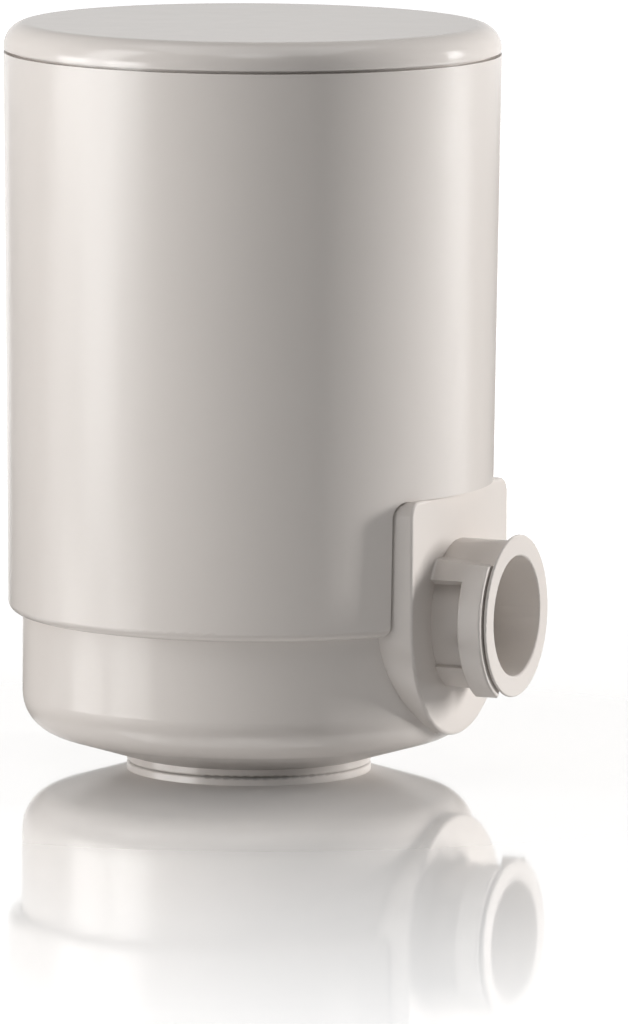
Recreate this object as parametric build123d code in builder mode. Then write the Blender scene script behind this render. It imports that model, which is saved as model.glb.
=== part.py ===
from build123d import *
import os
from math import cos, radians, tan

# Lengths are in millimetres and angles in degrees. The origin is the centre of the outlet on the
# plane that the foot stands on, +Z runs up the body and +X runs out along the inlet spigot.

# Cup: a straight wall, a dished bottom and a foot ring
cup_radius = 28.4
cup_wall = 2.2
dish_angle = 16.6
dish_corner_radius = 5.2
foot_radius = 15.3
foot_height = 1.0
foot_ring_width = 2.5
foot_groove_depth = 0.8
foot_edge_radius = 0.3
seam_height = 89.0

# Side pad, spigot and its socket
pad_stand_off = 0.1
pad_half_width = 15.3
pad_rise = 15.3
pad_corner_radius = 2.0
pad_edge_radius = 0.4
spigot_height = 20.4
spigot_length = 7.7
spigot_radius = 9.3
lip_radius = 10.1
lip_width = 0.3
lip_flare = 0.15
lip_edge_radius = 0.2
socket_radius = 7.5
socket_edge_radius = 0.2
socket_floor = 1.6
inlet_port_radius = 3.6

# Latch lugs on the spigot; their angles are above and below the level through its axis
lug_height = 1.5
lug_setback = 0.55
lug_width = 3.1
lug_top_rise = 7.05
lug_top_draft = 4.5
lug_angle_below = 64
window_angle_above = 29
crown_angle = 90
lug_edge_radius = 0.3
lug_root = 0.5
ramp_height = 0.4
ramp_angle = 27

# Outer sleeve
sleeve_clearance = 0.2
sleeve_wall = 1.6
sleeve_draft = 0.66
sleeve_bottom = 19.0
sleeve_edge_radius = 1.3
notch_clearance = 0.4

# Top cap
cap_height = 3.7
cap_plate = 2.2
cap_edge_radius = 3.0
seam_gap = 0.4
seam_land = 0.6
locating_ring_depth = 2.0
locating_ring_clearance = 0.15
skirt_wall = 1.8
skirt_clearance = 0.1
skirt_end_clearance = 0.2
weld_step = 0.8
weld_depth = 5.0
hold_down_ribs = 6
hold_down_rib_thickness = 1.4
hold_down_rib_inset = 8.0

# Outlet, from the foot up
outlet_radius = 7.4
outlet_depth = 3.6
outlet_shoulder = 0.6
outlet_web = 1.6
orifice_radius = 4.0
screen_thickness = 2.4
screen_clearance = 0.1
screen_hole_radius = 0.85
screen_hole_pitch = 2.5
screen_holes_per_ring = 6
restrictor_thickness = 1.8
restrictor_clearance = 0.1
restrictor_hole_radius = 1.6
restrictor_funnel_radius = 3.0
restrictor_funnel_depth = 0.8

# Filter element
neck_radius = 6.4
neck_length = 7.2
neck_bore = 3.2
neck_clearance = 0.2
neck_end_clearance = 0.2
boss_wall = 2.6
o_ring_section = 1.6
o_ring_clearance = 0.02
o_ring_pitch = 3.2
o_ring_inset = 2.0
groove_width = 2.1
end_plate = 1.8
end_rim_height = 3.0
end_rim_wall = 1.1
end_rim_clearance = 0.1
end_gap = 0.4
flow_gap = 2.2
tab_count = 4
tab_width = 3.0
tab_clearance = 0.2
fleece_thickness = 0.8
fleece_clearance = 0.05
core_bore = 4.8
core_wall = 1.1
core_clearance = 0.1
core_slot_width = 2.0
core_slot_length = 8.0
core_slot_columns = 6
core_slot_rows = 5
core_plug_length = 4.0
core_plug_clearance = 0.1

# Inlet strainer
strainer_radius = 6.2
strainer_thickness = 1.2
strainer_clearance = 0.1
strainer_rim = 1.4
strainer_hole = 1.3
strainer_pitch = 2.0

# Match of an edge to the radius that made it
radius_match = 0.001

# Cup, worked out
cavity_radius = cup_radius - cup_wall
dish_slope = tan(radians(dish_angle))
dish_rim_height = foot_height + (cup_radius - foot_radius) * dish_slope
dish_wall_rise = cup_wall / cos(radians(dish_angle))
cavity_rim_height = foot_height + (cavity_radius - foot_radius) * dish_slope + dish_wall_rise
floor_height = foot_groove_depth + cup_wall
floor_radius = cavity_radius - (cavity_rim_height - floor_height) / dish_slope
mouth_radius = cavity_radius + weld_step
ledge_height = seam_height - weld_depth

# Outlet and neck, worked out
screen_seat_radius = outlet_radius - outlet_shoulder
web_bottom = outlet_depth + screen_thickness
web_top = web_bottom + outlet_web
neck_socket_radius = neck_radius + neck_clearance
boss_radius = neck_socket_radius + boss_wall
neck_end = web_top + restrictor_thickness + neck_end_clearance
boss_top = neck_end + neck_length
screen_radius = screen_seat_radius - screen_clearance
screen_rings = int((screen_radius - screen_hole_pitch / 2) / screen_hole_pitch)

# Pad and spigot, worked out
pad_reach = cup_radius + pad_stand_off
spigot_reach = pad_reach + spigot_length
socket_end = cavity_radius + socket_floor
socket_shoulder = socket_end + strainer_thickness
lip_back = spigot_reach - lip_width
lug_radius = spigot_radius + lug_height
lug_front = spigot_reach - lug_setback
lug_back = lug_front - lug_width
lug_top_front = spigot_height + lug_top_rise
lug_top_root = lug_top_front + (lug_front - cup_radius) * tan(radians(lug_top_draft))
lug_limit = spigot_height + lug_radius
strainer_disc_radius = strainer_radius - strainer_clearance
strainer_open_radius = strainer_disc_radius - strainer_rim
strainer_rows = 2 * int(strainer_open_radius / strainer_pitch) + 1
spigot_plane = Plane(origin=(0, 0, spigot_height), x_dir=(0, 1, 0), z_dir=(1, 0, 0))

# Sleeve and cap, worked out
sleeve_inner_bottom = cup_radius + sleeve_clearance
sleeve_outer_bottom = sleeve_inner_bottom + sleeve_wall
sleeve_flare = (seam_height - sleeve_bottom) * tan(radians(sleeve_draft))
sleeve_inner_top = sleeve_inner_bottom + sleeve_flare
sleeve_outer_top = sleeve_outer_bottom + sleeve_flare
cap_top = seam_height + cap_height
cap_underside = cap_top - cap_plate
cap_land_radius = sleeve_inner_top + seam_land
skirt_outer = mouth_radius - skirt_clearance
skirt_inner = skirt_outer - skirt_wall
skirt_end = ledge_height + skirt_end_clearance

# Filter element, worked out
end_cap_radius = cavity_radius - flow_gap
end_rim_inner = end_cap_radius - end_rim_wall
fleece_radius = end_rim_inner - end_rim_clearance
fleece_bore = fleece_radius - fleece_thickness
block_radius = fleece_bore - fleece_clearance
core_radius = core_bore + core_wall
block_bore = core_radius + core_clearance
block_bottom = boss_top + end_plate
element_top = ledge_height - end_gap
block_top = element_top - end_plate
block_length = block_top - block_bottom
o_ring_outer = neck_socket_radius - o_ring_clearance
o_ring_section_radius = o_ring_section / 2 - o_ring_clearance
o_ring_radius = o_ring_outer - o_ring_section_radius
groove_radius = neck_socket_radius - o_ring_section
o_ring_lower_height = neck_end + o_ring_inset
o_ring_upper_height = o_ring_lower_height + o_ring_pitch


def ring_segment(inner, outer, start, span):
    """Return a flat ring segment about the origin, from its start angle through its span."""
    with BuildSketch(Plane.XY) as segment:
        with BuildLine():
            outside = CenterArc((0, 0), outer, start, span)
            inside = CenterArc((0, 0), inner, start, span)
            Line(outside @ 0, inside @ 0)
            Line(outside @ 1, inside @ 1)
        make_face()
    return segment.sketch


# Outlines of the lug on the +Y side, seen along the spigot; the other one is its mirror image
lug_foot = spigot_radius - lug_root
lug_rib = ring_segment(lug_foot, lug_radius, -lug_angle_below, lug_angle_below + crown_angle)
lug_stop = ring_segment(lug_foot, lug_radius, window_angle_above, crown_angle - window_angle_above)
lug_ramp = ring_segment(lug_foot, spigot_radius + ramp_height, -lug_angle_below, ramp_angle)

# Latch lugs: a rib round each side of the spigot, a stop above it with a drafted top, and a ramp below
with BuildPart() as latch_lugs:
    with BuildSketch(spigot_plane.offset(lug_back)):
        add(lug_rib)
        mirror(about=Plane.YZ)
    extrude(amount=lug_width)
    with BuildSketch(spigot_plane.offset(cup_radius)):
        add(lug_stop)
        add(lug_ramp)
        mirror(about=Plane.YZ)
    extrude(amount=lug_front - cup_radius)
    with BuildSketch(Plane.XZ):
        with BuildLine():
            Polyline(
                (cup_radius, lug_top_root),
                (lug_front, lug_top_front),
                (lug_front, lug_limit),
                (cup_radius, lug_limit),
                close=True,
            )
        make_face()
    extrude(amount=lug_radius, both=True, mode=Mode.SUBTRACT)

# Housing: cup, pad, spigot, lugs and outlet boss in one moulding
with BuildPart() as housing:
    with BuildSketch(Plane.XZ) as cup_outline:
        with BuildLine():
            Polyline(
                (0, 0),
                (foot_radius, 0),
                (foot_radius, foot_height),
                (cup_radius, dish_rim_height),
                (cup_radius, seam_height),
                (0, seam_height),
                close=True,
            )
        make_face()
        fillet(cup_outline.vertices().sort_by_distance((cup_radius, dish_rim_height))[0], dish_corner_radius)
        fillet(cup_outline.vertices().sort_by_distance((foot_radius, 0))[0], foot_edge_radius)
    revolve(axis=Axis.Z)

    with BuildSketch(spigot_plane) as pad_outline:
        Circle(pad_half_width)
        Rectangle(2 * pad_half_width, pad_rise, align=(Align.CENTER, Align.MIN))
        fillet(pad_outline.vertices().group_by(Axis.Y)[-1], pad_corner_radius)
    extrude(amount=pad_reach)
    pad_face = housing.faces().filter_by(Plane.YZ).sort_by(Axis.X)[-1]
    fillet(pad_face.edges(), pad_edge_radius)

    with BuildSketch(Plane.XZ):
        with BuildLine():
            Polyline(
                (0, spigot_height),
                (0, spigot_height + spigot_radius),
                (lip_back - lip_flare, spigot_height + spigot_radius),
                (lip_back, spigot_height + lip_radius),
                (spigot_reach, spigot_height + lip_radius),
                (spigot_reach, spigot_height),
                close=True,
            )
        make_face()
    revolve(axis=Axis((0, 0, spigot_height), (1, 0, 0)))
    spigot_end = housing.faces().filter_by(Plane.YZ).sort_by(Axis.X)[-1]
    fillet(spigot_end.edges(), lip_edge_radius)

    add(latch_lugs.part)
    round_edges = housing.edges().filter_by(GeomType.CIRCLE)
    lug_rims = round_edges.filter_by(lambda edge: abs(edge.radius - lug_radius) < radius_match)
    fillet(lug_rims, lug_edge_radius)

    with BuildSketch(Plane.XZ) as cavity_outline:
        with BuildLine():
            Polyline(
                (0, 0),
                (outlet_radius, 0),
                (outlet_radius, outlet_depth),
                (screen_seat_radius, outlet_depth),
                (screen_seat_radius, web_bottom),
                (orifice_radius, web_bottom),
                (orifice_radius, web_top),
                (neck_socket_radius, web_top),
                (neck_socket_radius, boss_top),
                (boss_radius, boss_top),
                (boss_radius, floor_height),
                (floor_radius, floor_height),
                (cavity_radius, cavity_rim_height),
                (cavity_radius, ledge_height),
                (mouth_radius, ledge_height),
                (mouth_radius, seam_height),
                (0, seam_height),
                close=True,
            )
        make_face()
        cavity_corner = cavity_outline.vertices().sort_by_distance((cavity_radius, cavity_rim_height))[0]
        fillet(cavity_corner, dish_corner_radius - cup_wall)
    revolve(axis=Axis.Z, mode=Mode.SUBTRACT)

    with BuildSketch() as foot_groove:
        Circle(foot_radius - foot_ring_width)
        Circle(boss_radius, mode=Mode.SUBTRACT)
    extrude(amount=foot_groove_depth, mode=Mode.SUBTRACT)

    with BuildSketch(spigot_plane.offset(spigot_reach)):
        Circle(socket_radius)
    extrude(amount=socket_shoulder - spigot_reach, mode=Mode.SUBTRACT)
    round_edges = housing.edges().filter_by(GeomType.CIRCLE)
    socket_edges = round_edges.filter_by(lambda edge: abs(edge.radius - socket_radius) < radius_match)
    fillet(socket_edges.sort_by(Axis.X)[-1], socket_edge_radius)
    with BuildSketch(spigot_plane.offset(socket_shoulder)):
        Circle(strainer_radius)
    extrude(amount=-strainer_thickness, mode=Mode.SUBTRACT)
    with BuildSketch(spigot_plane.offset(socket_end)):
        Circle(inlet_port_radius)
    extrude(amount=-cup_wall - socket_floor, mode=Mode.SUBTRACT)
housing.part.label = "housing"

# Outer sleeve: drafted jacket, notched so that it slides down over the pad and rests on its top edge
with BuildPart() as outer_sleeve:
    with BuildSketch(Plane.XZ) as sleeve_outline:
        with BuildLine():
            Polyline(
                (sleeve_inner_bottom, sleeve_bottom),
                (sleeve_outer_bottom, sleeve_bottom),
                (sleeve_outer_top, seam_height),
                (sleeve_inner_top, seam_height),
                close=True,
            )
        make_face()
        lower_edge = sleeve_outline.vertices().sort_by_distance((sleeve_outer_bottom, sleeve_bottom))[0]
        fillet(lower_edge, sleeve_edge_radius)
    revolve(axis=Axis.Z)
    with BuildSketch(spigot_plane) as notch:
        Rectangle(2 * (pad_half_width + notch_clearance), pad_rise, align=(Align.CENTER, Align.MIN))
        fillet(notch.vertices().group_by(Axis.Y)[-1], pad_corner_radius)
        Rectangle(
            2 * (pad_half_width + notch_clearance),
            spigot_height,
            align=(Align.CENTER, Align.MAX),
        )
    extrude(amount=spigot_reach, mode=Mode.SUBTRACT)
outer_sleeve.part.label = "outer_sleeve"

# Top cap: rolled edge outside, a ring that centres the sleeve, a welded skirt and hold-down ribs
with BuildPart() as top_cap:
    with BuildSketch(Plane.XZ) as cap_outline:
        with BuildLine():
            Polyline(
                (0, cap_underside),
                (skirt_inner, cap_underside),
                (skirt_inner, skirt_end),
                (skirt_outer, skirt_end),
                (skirt_outer, seam_height),
                (cup_radius + locating_ring_clearance, seam_height),
                (cup_radius + locating_ring_clearance, seam_height - locating_ring_depth),
                (sleeve_inner_top - sleeve_clearance, seam_height - locating_ring_depth),
                (sleeve_inner_top - sleeve_clearance, seam_height),
                (cap_land_radius, seam_height),
                (cap_land_radius, seam_height + seam_gap),
                (sleeve_outer_top, seam_height + seam_gap),
                (sleeve_outer_top, cap_top),
                (0, cap_top),
                close=True,
            )
        make_face()
        fillet(cap_outline.vertices().sort_by_distance((sleeve_outer_top, cap_top))[0], cap_edge_radius)
    revolve(axis=Axis.Z)
    rib_length = skirt_inner + skirt_wall / 2 - hold_down_rib_inset
    with BuildSketch(Plane.XY.offset(element_top)):
        with PolarLocations(hold_down_rib_inset, hold_down_ribs):
            Rectangle(rib_length, hold_down_rib_thickness, align=(Align.MIN, Align.CENTER))
        Circle(skirt_inner, mode=Mode.INTERSECT)
    extrude(amount=cap_underside - element_top)
top_cap.part.label = "top_cap"

# Carbon block with its fleece wrap and core tube
with BuildPart() as carbon_block:
    with BuildSketch(Plane.XY.offset(block_bottom)):
        Circle(block_radius)
        Circle(block_bore, mode=Mode.SUBTRACT)
    extrude(amount=block_length)
carbon_block.part.label = "carbon_block"

with BuildPart() as prefilter_fleece:
    with BuildSketch(Plane.XY.offset(block_bottom)):
        Circle(fleece_radius)
        Circle(fleece_bore, mode=Mode.SUBTRACT)
    extrude(amount=block_length)
prefilter_fleece.part.label = "prefilter_fleece"

with BuildPart() as core_tube:
    with BuildSketch(Plane.XY.offset(block_bottom)):
        Circle(core_radius)
        Circle(core_bore, mode=Mode.SUBTRACT)
    extrude(amount=block_length)
    slot_pitch = (block_length - core_plug_length) / core_slot_rows
    slot_middle = (block_bottom + block_top - core_plug_length) / 2
    for column in range(core_slot_columns):
        column_plane = Plane.YZ.rotated((0, 0, column * 360 / core_slot_columns))
        with BuildSketch(column_plane):
            with Locations((0, slot_middle)):
                with GridLocations(0, slot_pitch, 1, core_slot_rows):
                    Rectangle(core_slot_width, core_slot_length)
        extrude(amount=core_radius + core_clearance, mode=Mode.SUBTRACT)
core_tube.part.label = "core_tube"

# End caps of the element
with BuildPart() as upper_end_cap:
    with BuildSketch(Plane.XY.offset(block_top)):
        Circle(end_cap_radius)
        with PolarLocations(0, tab_count):
            Rectangle(cavity_radius - tab_clearance, tab_width, align=(Align.MIN, Align.CENTER))
    extrude(amount=end_plate)
    with BuildSketch(Plane.XY.offset(block_top)):
        Circle(end_cap_radius)
        Circle(end_rim_inner, mode=Mode.SUBTRACT)
    extrude(amount=-end_rim_height)
    with BuildSketch(Plane.XY.offset(block_top)):
        Circle(core_bore - core_plug_clearance)
    extrude(amount=-core_plug_length)
upper_end_cap.part.label = "upper_end_cap"

with BuildPart() as lower_end_cap:
    with BuildSketch(Plane.XZ):
        with BuildLine():
            Polyline(
                (neck_bore, neck_end),
                (neck_radius, neck_end),
                (neck_radius, boss_top),
                (end_cap_radius, boss_top),
                (end_cap_radius, block_bottom + end_rim_height),
                (end_rim_inner, block_bottom + end_rim_height),
                (end_rim_inner, block_bottom),
                (neck_bore, block_bottom),
                close=True,
            )
        make_face()
        for ring_height in (o_ring_lower_height, o_ring_upper_height):
            with Locations((groove_radius, ring_height)):
                Rectangle(
                    neck_radius - groove_radius,
                    groove_width,
                    align=(Align.MIN, Align.CENTER),
                    mode=Mode.SUBTRACT,
                )
    revolve(axis=Axis.Z)
lower_end_cap.part.label = "lower_end_cap"

# Seals on the neck
with BuildPart() as neck_o_ring_lower:
    with BuildSketch(Plane.XZ):
        with Locations((o_ring_radius, o_ring_lower_height)):
            Circle(o_ring_section_radius)
    revolve(axis=Axis.Z)
neck_o_ring_lower.part.label = "neck_o_ring_lower"

with BuildPart() as neck_o_ring_upper:
    with BuildSketch(Plane.XZ):
        with Locations((o_ring_radius, o_ring_upper_height)):
            Circle(o_ring_section_radius)
    revolve(axis=Axis.Z)
neck_o_ring_upper.part.label = "neck_o_ring_upper"

# Flow restrictor: rubber washer with a funnel on the upstream side
with BuildPart() as flow_restrictor:
    with BuildSketch(Plane.XZ):
        with BuildLine():
            Polyline(
                (restrictor_hole_radius, web_top),
                (neck_socket_radius - restrictor_clearance, web_top),
                (neck_socket_radius - restrictor_clearance, web_top + restrictor_thickness),
                (restrictor_funnel_radius, web_top + restrictor_thickness),
                (restrictor_hole_radius, web_top + restrictor_thickness - restrictor_funnel_depth),
                close=True,
            )
        make_face()
    revolve(axis=Axis.Z)
flow_restrictor.part.label = "flow_restrictor"

# Outlet screen: disc with rings of round holes, seated against the web
with BuildPart() as outlet_screen:
    with BuildSketch(Plane.XY.offset(outlet_depth)):
        Circle(screen_radius)
        Circle(screen_hole_radius, mode=Mode.SUBTRACT)
        for ring in range(1, screen_rings + 1):
            with PolarLocations(ring * screen_hole_pitch, ring * screen_holes_per_ring):
                Circle(screen_hole_radius, mode=Mode.SUBTRACT)
    extrude(amount=screen_thickness)
outlet_screen.part.label = "outlet_screen"

# Inlet strainer: disc with square holes, in the floor of the socket
with BuildPart() as inlet_strainer:
    with BuildSketch(spigot_plane.offset(socket_end)):
        Circle(strainer_disc_radius)
    extrude(amount=strainer_thickness)
    with BuildSketch(spigot_plane.offset(socket_end)):
        with GridLocations(strainer_pitch, strainer_pitch, strainer_rows, strainer_rows):
            Rectangle(strainer_hole, strainer_hole)
        Circle(strainer_open_radius, mode=Mode.INTERSECT)
    extrude(amount=strainer_thickness, mode=Mode.SUBTRACT)
inlet_strainer.part.label = "inlet_strainer"

os.makedirs("parts", exist_ok=True)
for piece in (
    housing,
    outer_sleeve,
    top_cap,
    carbon_block,
    prefilter_fleece,
    core_tube,
    upper_end_cap,
    lower_end_cap,
    neck_o_ring_lower,
    neck_o_ring_upper,
    flow_restrictor,
    outlet_screen,
    inlet_strainer,
):
    export_step(piece.part, f"parts/{piece.part.label}.step")
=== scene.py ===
import math

import bpy
from mathutils import Matrix, Vector

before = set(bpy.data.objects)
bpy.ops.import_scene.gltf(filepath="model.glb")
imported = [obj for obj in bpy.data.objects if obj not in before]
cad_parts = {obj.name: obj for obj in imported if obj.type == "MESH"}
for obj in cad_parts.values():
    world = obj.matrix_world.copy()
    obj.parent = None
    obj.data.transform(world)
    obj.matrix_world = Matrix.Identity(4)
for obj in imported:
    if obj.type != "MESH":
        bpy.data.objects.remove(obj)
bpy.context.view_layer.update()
scene = bpy.context.scene
scene.view_settings.view_transform = "Standard"

# Camera, from a fit to the photograph: angles in degrees, lengths in metres, image size in pixels
IMAGE_HEIGHT = 1024
CAMERA_AZIMUTH = 23.37
CAMERA_ELEVATION = 7.47
CAMERA_ROLL = 0.36
CAMERA_DISTANCE = 1.4
AIM_RIGHT = 0.00797
AIM_UP = 0.03107
PIXELS_PER_METRE = 7974.0
SENSOR_WIDTH = 36.0

# Lights by name: bearing to the right of the camera, rise, distance, width and height, power in watts
LIGHTS = {
    "key_light": (105, 7, 1.0, (0.05, 0.3), 10.2),
    "glint_light": (110, 15, 1.0, (0.08, 0.3), 1.1),
    "strip_light": (-71, 18, 0.23, (0.075, 0.34), 0.29),
    "side_light": (-90, 4, 0.9, (0.3, 0.2), 1.5),
    "left_fill": (-60, 4, 0.9, (0.3, 0.2), 1.65),
    "front_fill": (0, 55, 0.9, (0.3, 0.3), 0.6),
    "top_light": (0, 86, 1.0, (1.0, 1.0), 4.1),
}
LIGHT_TARGET_HEIGHT = 0.045
AMBIENT = 0.01

# Lights that no reflection shows
UNMIRRORED_LIGHTS = ("key_light",)

# Floor: its gloss fades with the radius from the foot, and its white grows with it, in metres
FLOOR_HALF_SIZE = 4.0
FLOOR_COLOUR = (0.8, 0.8, 0.8)
FLOOR_GLOW = 0.42
FLOOR_WHITE_START = 0.06
FLOOR_WHITE_END = 0.4
FLOOR_ROUGHNESS = 0.05
FLOOR_GLOSS = 0.9
FLOOR_GLOSS_START = 0.02
FLOOR_GLOSS_END = 0.265
FLOOR_GLOSS_TINT = (1.0, 0.99, 0.98)

# Black sheets on the floor, seen only in reflections: painted dark reflections that darken the edges of
# the body; bearings from the camera, and radii in metres
DARK_REFLECTION_SHEETS = {
    "right_dark_reflection": ((120, 168), (0.05, 0.9)),
    "left_dark_reflection": ((-153, -106), (0.05, 0.9)),
    # Round the foot, painted shade: a dark ring that reflections show in place of the floor's shade by
    # the foot
    "ring_painted_shade": ((-180, 180), (0.034, 0.05)),
}
CARD_LIFT = 0.0005
CARD_STEPS = 48
# Black of the painted dark reflections
REFLECTION_SHADE_BLACK = (0.02, 0.02, 0.02)

# Gloss of the cap and the housing: it falls off with the turn from the eye, 0 head on and 1 edge on
GLOSS_EDGE = (0.2, 0.7)

# Sleeve wall: a cone that leans in towards the floor, and how near to it a normal has to be to follow it
SLEEVE_LEAN = -math.tan(math.radians(0.66))
WALL_MATCH = (0.97, 0.99)

# Colours, linear
WHITE = (1.0, 1.0, 1.0)
SHELL_GREY = (0.655, 0.609, 0.572)
INNER_WHITE = (0.80, 0.80, 0.78)
CARBON_BLACK = (0.018, 0.018, 0.02)
FLEECE_WHITE = (0.83, 0.82, 0.79)
RUBBER_BLACK = (0.025, 0.025, 0.026)
FLEECE_SHEEN = 0.3

# Shell mouldings: material, tone against the grey (below 1 on the cap, a painted shade against the top
# light), roughness, gloss left at the edges, lean of the wall
SHELLS = {
    "outer_sleeve": ("sleeve_plastic", 1.0, 0.24, None, SLEEVE_LEAN),
    # The cap's tone is painted shade: a darker copy of the shell grey, for its top under the top light
    "top_cap": ("cap_painted_shade_plastic", 0.97, 0.18, 0.022, None),
    "housing": ("housing_plastic", 1.0, 0.24, 0.05, None),
}


def link(tree, source, target):
    tree.links.new(source, target)


def camera_axes():
    """Right, up and back directions of the camera before its roll."""
    azimuth = math.radians(CAMERA_AZIMUTH)
    elevation = math.radians(CAMERA_ELEVATION)
    back = Vector(
        (
            math.sin(azimuth) * math.cos(elevation),
            -math.cos(azimuth) * math.cos(elevation),
            math.sin(elevation),
        )
    )
    right = Vector((math.cos(azimuth), math.sin(azimuth), 0.0))
    return right, back.cross(right), back


def add_camera():
    right, up, back = camera_axes()
    data = bpy.data.cameras.new("camera")
    data.sensor_width = SENSOR_WIDTH
    data.lens = PIXELS_PER_METRE * CAMERA_DISTANCE / IMAGE_HEIGHT * SENSOR_WIDTH
    camera = bpy.data.objects.new("camera", data)
    scene.collection.objects.link(camera)
    turned = Matrix((right, up, back)).transposed() @ Matrix.Rotation(math.radians(CAMERA_ROLL), 3, "Z")
    camera.matrix_world = turned.to_4x4()
    camera.location = back * CAMERA_DISTANCE + right * AIM_RIGHT + up * AIM_UP
    scene.camera = camera


def level_direction(bearing):
    """The level direction at a bearing to the right of the camera."""
    right, _, back = camera_axes()
    front = Vector((back.x, back.y, 0.0)).normalized()
    bearing = math.radians(bearing)
    return front * math.cos(bearing) + right * math.sin(bearing)


def add_area_light(name, bearing, rise, distance, size, power):
    """An area light at a bearing from the camera and a rise above the floor, turned to the body."""
    rise = math.radians(rise)
    level = level_direction(bearing)
    target = Vector((0.0, 0.0, LIGHT_TARGET_HEIGHT))
    data = bpy.data.lights.new(name, "AREA")
    data.shape = "RECTANGLE"
    data.size, data.size_y = size
    data.energy = power
    light = bpy.data.objects.new(name, data)
    light.location = target + (level * math.cos(rise) + Vector((0, 0, math.sin(rise)))) * distance
    light.rotation_euler = (target - light.location).to_track_quat("-Z", "Y").to_euler()
    light.visible_glossy = name not in UNMIRRORED_LIGHTS
    scene.collection.objects.link(light)


def seen_rays(tree):
    """One for the rays that the camera sends, directly or by mirror or glass, and zero for the rest."""
    path = tree.nodes.new("ShaderNodeLightPath")
    total = path.outputs["Is Camera Ray"]
    for kind in ("Is Glossy Ray", "Is Transmission Ray"):
        either = tree.nodes.new("ShaderNodeMath")
        either.operation = "MAXIMUM"
        link(tree, total, either.inputs[0])
        link(tree, path.outputs[kind], either.inputs[1])
        total = either.outputs[0]
    return total


def add_world():
    """White to the camera and in reflections, a dimmer even light on everything else."""
    world = bpy.data.worlds.new("studio")
    scene.world = world
    world.use_nodes = True
    tree = world.node_tree
    tree.nodes.clear()
    ambient = tree.nodes.new("ShaderNodeBackground")
    ambient.inputs["Color"].default_value = (*WHITE, 1.0)
    ambient.inputs["Strength"].default_value = AMBIENT
    white = tree.nodes.new("ShaderNodeBackground")
    white.inputs["Color"].default_value = (*WHITE, 1.0)
    white.inputs["Strength"].default_value = 1.0
    mix = tree.nodes.new("ShaderNodeMixShader")
    output = tree.nodes.new("ShaderNodeOutputWorld")
    link(tree, seen_rays(tree), mix.inputs["Fac"])
    link(tree, ambient.outputs[0], mix.inputs[1])
    link(tree, white.outputs[0], mix.inputs[2])
    link(tree, mix.outputs[0], output.inputs["Surface"])


def product(tree, first, second):
    """The product of two values."""
    node = tree.nodes.new("ShaderNodeMath")
    node.operation = "MULTIPLY"
    link(tree, first, node.inputs[0])
    link(tree, second, node.inputs[1])
    return node.outputs[0]


def radial_ramp(tree, radius, start, end, inner, outer):
    """A value that runs from inner to outer between two radii."""
    ramp = tree.nodes.new("ShaderNodeMapRange")
    ramp.inputs["From Min"].default_value = start
    ramp.inputs["From Max"].default_value = end
    ramp.inputs["To Min"].default_value = inner
    ramp.inputs["To Max"].default_value = outer
    link(tree, radius.outputs["Value"], ramp.inputs["Value"])
    return ramp


def floor_material():
    """White sheet with a mirror gloss near the foot and a white glow further out."""
    material = bpy.data.materials.new("white_floor")
    material.use_nodes = True
    tree = material.node_tree
    tree.nodes.clear()
    geometry = tree.nodes.new("ShaderNodeNewGeometry")
    radius = tree.nodes.new("ShaderNodeVectorMath")
    radius.operation = "LENGTH"
    fade = radial_ramp(tree, radius, FLOOR_GLOSS_START, FLOOR_GLOSS_END, FLOOR_GLOSS, 0.0)
    whiten = radial_ramp(tree, radius, FLOOR_WHITE_START, FLOOR_WHITE_END, FLOOR_GLOW, 1.0)
    diffuse = tree.nodes.new("ShaderNodeBsdfDiffuse")
    diffuse.inputs["Color"].default_value = (*FLOOR_COLOUR, 1.0)
    glow = tree.nodes.new("ShaderNodeEmission")
    seen = seen_rays(tree)
    link(tree, product(tree, seen, whiten.outputs["Result"]), glow.inputs["Strength"])
    sheet = tree.nodes.new("ShaderNodeAddShader")
    gloss = tree.nodes.new("ShaderNodeBsdfAnisotropic")
    gloss.inputs["Color"].default_value = (*FLOOR_GLOSS_TINT, 1.0)
    gloss.inputs["Roughness"].default_value = FLOOR_ROUGHNESS
    mix = tree.nodes.new("ShaderNodeMixShader")
    output = tree.nodes.new("ShaderNodeOutputMaterial")
    link(tree, geometry.outputs["Position"], radius.inputs[0])
    link(tree, diffuse.outputs[0], sheet.inputs[0])
    link(tree, glow.outputs[0], sheet.inputs[1])
    link(tree, product(tree, seen, fade.outputs["Result"]), mix.inputs["Fac"])
    link(tree, sheet.outputs[0], mix.inputs[1])
    link(tree, gloss.outputs[0], mix.inputs[2])
    link(tree, mix.outputs[0], output.inputs["Surface"])
    return material


def add_floor():
    half = FLOOR_HALF_SIZE
    mesh = bpy.data.meshes.new("floor")
    corners = [(-half, -half, 0.0), (half, -half, 0.0), (half, half, 0.0), (-half, half, 0.0)]
    mesh.from_pydata(corners, [], [(0, 1, 2, 3)])
    mesh.materials.append(floor_material())
    floor = bpy.data.objects.new("floor", mesh)
    scene.collection.objects.link(floor)


def dark_reflection_material():
    """Painted dark reflection: black on the upper side and clear from below."""
    material = bpy.data.materials.new("painted_dark_reflection")
    material.use_nodes = True
    tree = material.node_tree
    tree.nodes.clear()
    below = tree.nodes.new("ShaderNodeNewGeometry").outputs["Backfacing"]
    black = tree.nodes.new("ShaderNodeBsdfDiffuse")
    black.inputs["Color"].default_value = (*REFLECTION_SHADE_BLACK, 1.0)
    clear = tree.nodes.new("ShaderNodeBsdfTransparent")
    mix = tree.nodes.new("ShaderNodeMixShader")
    output = tree.nodes.new("ShaderNodeOutputMaterial")
    link(tree, below, mix.inputs["Fac"])
    link(tree, black.outputs[0], mix.inputs[1])
    link(tree, clear.outputs[0], mix.inputs[2])
    link(tree, mix.outputs[0], output.inputs["Surface"])
    return material


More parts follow.
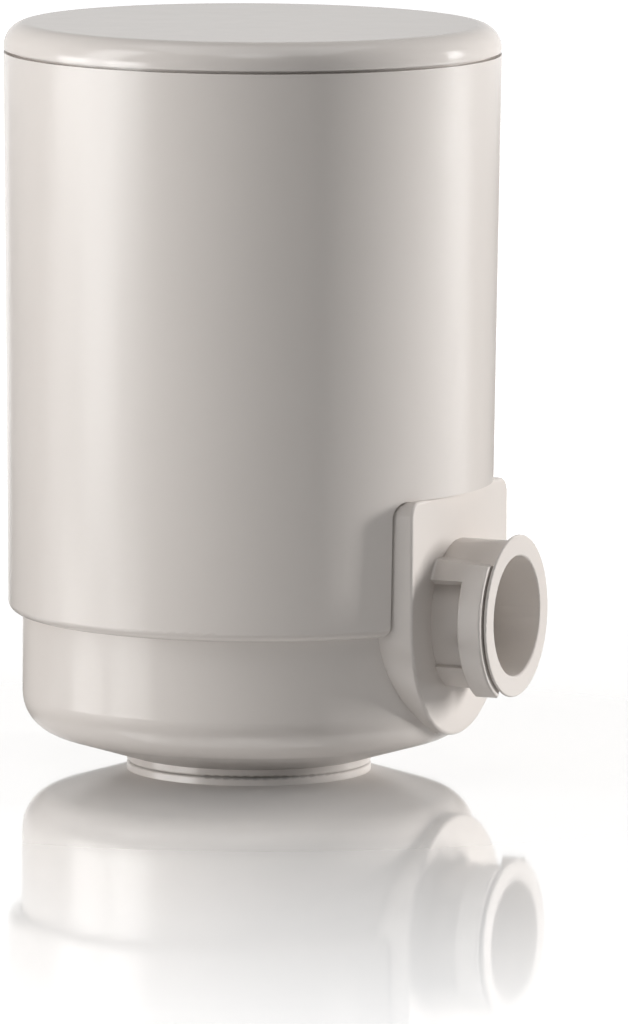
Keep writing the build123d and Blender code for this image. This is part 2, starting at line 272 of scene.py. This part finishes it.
def add_dark_reflection(name, bearings, radii, material):
    """A sector of black card on the floor that only the gloss of the body shows, as a painted dark
    reflection.
    """
    first, last = bearings
    lift = Vector((0.0, 0.0, CARD_LIFT))
    points = []
    for step in range(CARD_STEPS + 1):
        level = level_direction(first + (last - first) * step / CARD_STEPS)
        points += [level * radius + lift for radius in radii]
    faces = [(2 * step, 2 * step + 1, 2 * step + 3, 2 * step + 2) for step in range(CARD_STEPS)]
    mesh = bpy.data.meshes.new(name)
    mesh.from_pydata(points, [], faces)
    mesh.materials.append(material)
    card = bpy.data.objects.new(name, mesh)
    card.visible_camera = False
    card.visible_diffuse = False
    card.visible_shadow = False
    card.visible_transmission = False
    scene.collection.objects.link(card)


class Surface:
    """A principled material under construction, with object coordinates in metres."""

    def __init__(self, name, colour, roughness):
        self.material = bpy.data.materials.new(name)
        self.material.use_nodes = True
        self.tree = self.material.node_tree
        self.shader = self.tree.nodes["Principled BSDF"]
        self.shader.inputs["Base Color"].default_value = (*colour, 1.0)
        self.shader.inputs["Roughness"].default_value = roughness
        self.place = self.tree.nodes.new("ShaderNodeTexCoord").outputs["Object"]
        self.colour = colour
        self.normal = None

    def noise(self, size, detail=2.0):
        """Noise with features of about the given size."""
        node = self.tree.nodes.new("ShaderNodeTexNoise")
        node.inputs["Scale"].default_value = 1.0 / size
        node.inputs["Detail"].default_value = detail
        link(self.tree, self.place, node.inputs["Vector"])
        return node.outputs["Fac"]

    def cells(self, size):
        """Distance to the nearest of scattered points about the given size apart."""
        node = self.tree.nodes.new("ShaderNodeTexVoronoi")
        node.inputs["Scale"].default_value = 1.0 / size
        link(self.tree, self.place, node.inputs["Vector"])
        return node.outputs["Distance"]

    def tint(self, pattern, low, high):
        """Multiply the colour by low to high, following a pattern."""
        ramp = self.tree.nodes.new("ShaderNodeMix")
        ramp.data_type = "RGBA"
        ramp.inputs["A"].default_value = (*[c * low for c in self.colour], 1.0)
        ramp.inputs["B"].default_value = (*[c * high for c in self.colour], 1.0)
        link(self.tree, pattern, ramp.inputs["Factor"])
        link(self.tree, ramp.outputs["Result"], self.shader.inputs["Base Color"])

    def dull_edges(self, gloss):
        """Lower the gloss to the given level where the surface turns away from the eye."""
        weight = self.tree.nodes.new("ShaderNodeLayerWeight")
        if self.normal:
            link(self.tree, self.normal, weight.inputs["Normal"])
        ramp = self.tree.nodes.new("ShaderNodeMapRange")
        ramp.interpolation_type = "SMOOTHSTEP"
        ramp.inputs["From Min"].default_value = GLOSS_EDGE[0]
        ramp.inputs["From Max"].default_value = GLOSS_EDGE[1]
        specular = self.shader.inputs["Specular IOR Level"]
        ramp.inputs["To Min"].default_value = specular.default_value
        ramp.inputs["To Max"].default_value = gloss
        link(self.tree, weight.outputs["Facing"], ramp.inputs["Value"])
        link(self.tree, ramp.outputs["Result"], specular)

    def vector(self, operation, *values):
        """A vector operation on sockets or fixed vectors."""
        node = self.tree.nodes.new("ShaderNodeVectorMath")
        node.operation = operation
        for socket, value in zip(node.inputs, values):
            if isinstance(value, tuple):
                socket.default_value = value
            else:
                link(self.tree, value, socket)
        return node

    def smooth_wall(self, lean):
        """Shade the wall round the upright axis as an even cone, across the joint in its mesh."""
        level = self.vector("MULTIPLY", self.place, (1.0, 1.0, 0.0)).outputs["Vector"]
        round_normal = self.vector("NORMALIZE", level).outputs["Vector"]
        cone = self.vector("ADD", round_normal, (0.0, 0.0, lean)).outputs["Vector"]
        normal = self.tree.nodes.new("ShaderNodeNewGeometry").outputs["Normal"]
        near = self.tree.nodes.new("ShaderNodeMapRange")
        near.interpolation_type = "SMOOTHSTEP"
        near.inputs["From Min"].default_value = WALL_MATCH[0]
        near.inputs["From Max"].default_value = WALL_MATCH[1]
        link(self.tree, self.vector("DOT_PRODUCT", normal, cone).outputs["Value"], near.inputs["Value"])
        blend = self.tree.nodes.new("ShaderNodeMix")
        blend.data_type = "VECTOR"
        link(self.tree, near.outputs["Result"], blend.inputs["Factor"])
        link(self.tree, normal, blend.inputs["A"])
        link(self.tree, cone, blend.inputs["B"])
        self.normal = self.vector("NORMALIZE", blend.outputs["Result"]).outputs["Vector"]

    def roughen(self, pattern, low, high):
        """Spread the roughness from low to high, following a pattern."""
        spread = self.tree.nodes.new("ShaderNodeMapRange")
        spread.inputs["To Min"].default_value = low
        spread.inputs["To Max"].default_value = high
        link(self.tree, pattern, spread.inputs["Value"])
        link(self.tree, spread.outputs["Result"], self.shader.inputs["Roughness"])

    def bump(self, pattern, height):
        """Add relief of the given height on top of the relief so far."""
        node = self.tree.nodes.new("ShaderNodeBump")
        node.inputs["Distance"].default_value = height
        link(self.tree, pattern, node.inputs["Height"])
        if self.normal:
            link(self.tree, self.normal, node.inputs["Normal"])
        self.normal = node.outputs["Normal"]
        link(self.tree, self.normal, self.shader.inputs["Normal"])


def shell_plastic(name, shade_scale, roughness, edge_gloss=None, wall_lean=None):
    """Satin moulded plastic: a fine spark-eroded grain over a slow waviness."""
    # The grey scaled down; on the cap this is painted shade
    surface = Surface(name, tuple(shade_scale * channel for channel in SHELL_GREY), roughness)
    if wall_lean is not None:
        surface.smooth_wall(wall_lean)
    surface.tint(surface.noise(size=0.012, detail=3.0), low=0.985, high=1.012)
    if edge_gloss is not None:
        surface.dull_edges(edge_gloss)
    surface.roughen(surface.noise(size=0.004), low=roughness - 0.02, high=roughness + 0.03)
    surface.bump(surface.noise(size=0.009, detail=1.0), height=0.000012)
    surface.bump(surface.noise(size=0.002, detail=1.0), height=0.000006)
    return surface.material


def inner_plastic():
    """White natural polypropylene, a little waxy."""
    surface = Surface("inner_polypropylene", INNER_WHITE, roughness=0.42)
    surface.tint(surface.noise(size=0.006), low=0.96, high=1.02)
    surface.roughen(surface.noise(size=0.002, detail=3.0), low=0.36, high=0.5)
    surface.bump(surface.noise(size=0.0003), height=0.000008)
    return surface.material


def carbon():
    """Pressed granules of activated carbon."""
    surface = Surface("pressed_carbon", CARBON_BLACK, roughness=0.85)
    surface.tint(surface.noise(size=0.0006, detail=4.0), low=0.5, high=1.9)
    surface.roughen(surface.noise(size=0.0008, detail=3.0), low=0.7, high=0.95)
    surface.bump(surface.cells(size=0.0005), height=0.00018)
    surface.bump(surface.noise(size=0.00015, detail=3.0), height=0.00008)
    return surface.material


def fleece():
    """Non-woven wrap with clumped fibres."""
    surface = Surface("fleece_fibre", FLEECE_WHITE, roughness=0.9)
    surface.tint(surface.noise(size=0.0012, detail=6.0), low=0.86, high=1.04)
    surface.bump(surface.noise(size=0.0005, detail=8.0), height=0.0002)
    surface.shader.inputs["Sheen Weight"].default_value = FLEECE_SHEEN
    return surface.material


def seal_rubber():
    """Matt moulded rubber with a light bloom."""
    surface = Surface("moulded_rubber", RUBBER_BLACK, roughness=0.55)
    surface.tint(surface.noise(size=0.002, detail=3.0), low=0.8, high=1.5)
    surface.roughen(surface.noise(size=0.001, detail=3.0), low=0.48, high=0.68)
    surface.bump(surface.noise(size=0.0002), height=0.00001)
    return surface.material


def dress(material, *names):
    for name in names:
        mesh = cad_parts[name].data
        mesh.materials.clear()
        mesh.materials.append(material)


add_camera()
add_world()
add_floor()
for light_name, light_settings in LIGHTS.items():
    add_area_light(light_name, *light_settings)
# Black sheets that only reflections show: painted dark reflections, and round the foot painted shade
dark_reflection_sheet = dark_reflection_material()
for sheet_name, sheet_place in DARK_REFLECTION_SHEETS.items():
    add_dark_reflection(sheet_name, *sheet_place, dark_reflection_sheet)

for node_name, shell_settings in SHELLS.items():
    dress(shell_plastic(*shell_settings), node_name)
dress(inner_plastic(), "upper_end_cap", "lower_end_cap", "core_tube", "inlet_strainer", "outlet_screen")
dress(carbon(), "carbon_block")
dress(fleece(), "prefilter_fleece")
dress(seal_rubber(), "neck_o_ring_lower", "neck_o_ring_upper", "flow_restrictor")
